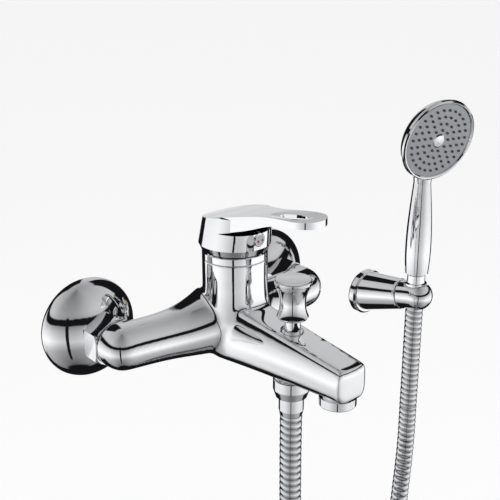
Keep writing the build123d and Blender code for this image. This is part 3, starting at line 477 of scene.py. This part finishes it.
def surface_group():
    """Unevenness, dull patches and slight shading that every finish shares."""
    group = bpy.data.node_groups.new("surface_life", "ShaderNodeTree")
    for name, start in (("Grains per metre", 90.0), ("Unevenness", 0.0002), ("Roughness", 0.05),
                        ("Dull patches", 0.02), ("Shading", 0.04)):
        made = group.interface.new_socket(name, in_out="INPUT", socket_type="NodeSocketFloat")
        made.default_value = start
    group.interface.new_socket("Normal", in_out="OUTPUT", socket_type="NodeSocketVector")
    group.interface.new_socket("Roughness", in_out="OUTPUT", socket_type="NodeSocketFloat")
    group.interface.new_socket("Shade", in_out="OUTPUT", socket_type="NodeSocketFloat")
    given = group.nodes.new("NodeGroupInput")
    made = group.nodes.new("NodeGroupOutput")
    where = group.nodes.new("ShaderNodeTexCoord").outputs["Object"]

    fine = add_noise(group, where, given.outputs["Grains per metre"], 1.0)
    patches = add_noise(group, where, 0.018, 3.0)
    bump = group.nodes.new("ShaderNodeBump")
    bump.inputs["Strength"].default_value = 1.0
    group.links.new(given.outputs["Unevenness"], bump.inputs["Distance"])
    group.links.new(fine, bump.inputs["Height"])
    group.links.new(bump.outputs[0], made.inputs["Normal"])

    dull = group.nodes.new("ShaderNodeMath")
    dull.operation = "MULTIPLY_ADD"
    group.links.new(patches, dull.inputs[0])
    group.links.new(given.outputs["Dull patches"], dull.inputs[1])
    group.links.new(given.outputs["Roughness"], dull.inputs[2])
    group.links.new(dull.outputs[0], made.inputs["Roughness"])

    shade = group.nodes.new("ShaderNodeMath")
    shade.operation = "MULTIPLY_ADD"
    lower = group.nodes.new("ShaderNodeMath")
    lower.operation = "SUBTRACT"
    lower.inputs[0].default_value = 1.0
    group.links.new(given.outputs["Shading"], lower.inputs[1])
    group.links.new(patches, shade.inputs[0])
    group.links.new(given.outputs["Shading"], shade.inputs[1])
    group.links.new(lower.outputs[0], shade.inputs[2])
    group.links.new(shade.outputs[0], made.inputs["Shade"])
    return group


surface_life = surface_group()
print("surface group made")

# %% [markdown]
# ## The finishes
#
# Bright chrome is a mirror with a faint blue-grey cast. Brass and steel are duller and warmer or
# greyer, plastics and rubber aren't metals at all, and each has its own grain. A finish here is a
# colour, a metal or not, and the amounts that it asks of the shared group.

# %% Mix the finishes
PLAIN = {"metal": 0.0, "grains": 2500.0, "uneven": 0.00004, "rough": 0.4, "patches": 0.08, "shade": 0.05}


def finish(name, colour, **amounts):
    """A material that puts one colour and the shared surface group on a Principled shader."""
    amount = {**PLAIN, **amounts}
    material = bpy.data.materials.new(name)
    material.use_nodes = True
    tree = material.node_tree
    shader = tree.nodes["Principled BSDF"]
    life = tree.nodes.new("ShaderNodeGroup")
    life.node_tree = surface_life
    for socket, value in (("Grains per metre", amount["grains"]), ("Unevenness", amount["uneven"]),
                          ("Roughness", amount["rough"]), ("Dull patches", amount["patches"]),
                          ("Shading", amount["shade"])):
        life.inputs[socket].default_value = value
    tint = tree.nodes.new("ShaderNodeVectorMath")
    tint.operation = "SCALE"
    tint.inputs[0].default_value = colour
    tree.links.new(life.outputs["Shade"], tint.inputs["Scale"])
    tree.links.new(tint.outputs[0], shader.inputs["Base Color"])
    tree.links.new(life.outputs["Roughness"], shader.inputs["Roughness"])
    tree.links.new(life.outputs["Normal"], shader.inputs["Normal"])
    shader.inputs["Metallic"].default_value = amount["metal"]
    return material


def paint_groove_shade(material, shade_level):
    """Paint shade into the colour where the hose's ribs meet, darkest deep in each groove."""
    tree = material.node_tree
    shader = tree.nodes["Principled BSDF"]
    groove_shade = tree.nodes.new("ShaderNodeAttribute")
    groove_shade.attribute_name = "groove_shade"
    shadow = tree.nodes.new("ShaderNodeMix")
    shadow.data_type = "RGBA"
    tree.links.new(groove_shade.outputs["Fac"], shadow.inputs["Factor"])
    tree.links.new(shader.inputs["Base Color"].links[0].from_socket, shadow.inputs["A"])
    shadow.inputs["B"].default_value = (shade_level, shade_level, shade_level, 1)
    tree.links.new(shadow.outputs["Result"], shader.inputs["Base Color"])


chrome = finish("bright_chrome", (0.90, 0.905, 0.915), metal=1.0, grains=70.0, uneven=0.00011,
                rough=0.028, patches=0.022, shade=0.03)
turned_chrome = finish("turned_chrome", (0.88, 0.885, 0.90), metal=1.0, grains=160.0, uneven=0.00003,
                       rough=0.04, patches=0.03, shade=0.03)
wound_steel = finish("wound_steel", (0.80, 0.81, 0.825), metal=1.0, grains=900.0, uneven=0.00003,
                     rough=0.13, patches=0.10, shade=0.08)
# painted shade: the hose's grooves are darkened in its colour, nearly to black
paint_groove_shade(wound_steel, 0.03)
brass = finish("machined_brass", (0.72, 0.53, 0.24), metal=1.0, grains=1800.0, rough=0.26,
               patches=0.14, shade=0.12)
steel = finish("satin_steel", (0.56, 0.57, 0.58), metal=1.0, grains=2200.0, rough=0.30,
               patches=0.12, shade=0.08)
rubber = finish("black_rubber", (0.022, 0.022, 0.023), rough=0.62, patches=0.18, shade=0.25)
ceramic = finish("lapped_ceramic", (0.86, 0.85, 0.81), rough=0.16, patches=0.05)
white_plastic = finish("white_plastic", (0.74, 0.74, 0.72), rough=0.38, grains=3500.0)
grey_plastic = finish("grey_plastic", (0.20, 0.21, 0.22), rough=0.42, grains=3500.0)
satin_face = finish("satin_face", (0.44, 0.45, 0.47), metal=0.75, rough=0.30, patches=0.10, grains=4000.0)
silicone = finish("grey_silicone", (0.10, 0.105, 0.115), rough=0.48, patches=0.12, grains=3000.0)
strap = finish("black_strap", (0.018, 0.018, 0.020), rough=0.42, grains=1500.0, uneven=0.0001)
print("finishes mixed")

# %% [markdown]
# ## The index button
#
# The small white button in front of the dome covers the grub screw that holds the lever. Two printed
# dots say which way is hot and which is cold. They are flat ink, so they belong in the material: a
# place counts as ink when it lies within a dot's radius of the dot's middle. The button's edge is
# left bare and shows as a bright ring.

# %% Print the index button


def disc_mask(tree, where, middle, radius, soft):
    """1 within a radius of a place, 0 outside, seen along the button's axis."""
    flat = tree.nodes.new("ShaderNodeVectorMath")
    flat.operation = "MULTIPLY"
    flat.inputs[1].default_value = (1, 0, 1)
    tree.links.new(where, flat.inputs[0])
    apart = tree.nodes.new("ShaderNodeVectorMath")
    apart.operation = "DISTANCE"
    apart.inputs[1].default_value = (middle.x, 0, middle.z)
    tree.links.new(flat.outputs[0], apart.inputs[0])
    edge = tree.nodes.new("ShaderNodeMapRange")
    edge.inputs["From Min"].default_value = radius + soft
    edge.inputs["From Max"].default_value = radius - soft
    tree.links.new(apart.outputs["Value"], edge.inputs["Value"])
    return edge.outputs["Result"]


def print_button():
    """White enamel face with a red and a blue dot, inside a bare metal edge."""
    material = finish("index_enamel", (0.86, 0.87, 0.88), rough=0.12, patches=0.03, grains=1200.0,
                      uneven=0.00001)
    tree = material.node_tree
    shader = tree.nodes["Principled BSDF"]
    where = tree.nodes.new("ShaderNodeTexCoord").outputs["Object"]
    low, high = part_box("index_button")
    inverse = nodes["index_button"].matrix_world.inverted()
    middle = (Vector(low) + Vector(high)) / 2
    colour = shader.inputs["Base Color"].links[0].from_socket
    ink = ((Vector((-1.5, 0, -0.7)), (0.62, 0.02, 0.02, 1)),
           (Vector((1.9, 0, -0.3)), (0.02, 0.10, 0.55, 1)))
    for shift, dye in ink:
        dot = tree.nodes.new("ShaderNodeMix")
        dot.data_type = "RGBA"
        mask = disc_mask(tree, where, inverse @ (middle + shift * MM), 0.85 * MM, 0.08 * MM)
        tree.links.new(mask, dot.inputs["Factor"])
        tree.links.new(colour, dot.inputs["A"])
        dot.inputs["B"].default_value = dye
        colour = dot.outputs["Result"]
    tree.links.new(colour, shader.inputs["Base Color"])
    face = disc_mask(tree, where, inverse @ middle, 3.55 * MM, 0.05 * MM)
    bare = tree.nodes.new("ShaderNodeMath")
    bare.operation = "SUBTRACT"
    bare.inputs[0].default_value = 1.0
    tree.links.new(face, bare.inputs[1])
    tree.links.new(bare.outputs[0], shader.inputs["Metallic"])
    return material


index_enamel = print_button()

# %% [markdown]
# ## Dressing the pieces
#
# Each piece now gets its finish by what it is made of. Pieces that are never seen from outside are
# dressed as well, since the part may be opened up or taken apart.

# %% Dress every piece
DRESS = (
    (chrome, "mixer_body lever_handle diverter_knob bracket_base bracket_arm swivel_head handset_body "
             "wall_flange_left wall_flange_right"),
    (turned_chrome, "trim_ring diverter_bonnet shower_nipple aerator_housing union_nut_left "
                    "union_nut_right handset_rim handset_hub hose_nut hose_ferrule_lower "
                    "hose_ferrule_upper"),
    (wound_steel, "hose_run_mixer hose_coil hose_run_bracket hose_run_handset"),
    (brass, "wall_union_left wall_union_right retaining_nut diverter_spindle diverter_valve hose_tail_lower"),
    (steel, "pivot_pin lever_stem handle_screw diverter_spring bracket_plate swivel_screw handset_screw"),
    (rubber, "union_washer_left union_washer_right cartridge_seals diverter_seal hose_washer aerator_seal"),
    (ceramic, "fixed_ceramic_disc moving_ceramic_disc"),
    (white_plastic, "cartridge_housing check_valve aerator_insert holder_liner"),
    (grey_plastic, "cartridge_base disc_carrier cartridge_driver flow_plate"),
    (index_enamel, "index_button"),
    (satin_face, "handset_face"),
    (silicone, "nozzle_mat"),
    (strap, "hose_tie"),
)


def dress(piece, material):
    """Give a piece one material and nothing else."""
    piece.data.materials.clear()
    piece.data.materials.append(material)


dressed = set()
for material, names in DRESS:
    for name in names.split():
        dress(nodes[name], material)
        dressed.add(name)
dress(skin, chrome)
for piece in (shower_hose, hose_rise, hose_top):
    dress(piece, wound_steel)
print(len(dressed), "CAD pieces dressed, left over:", sorted(set(nodes) - dressed))
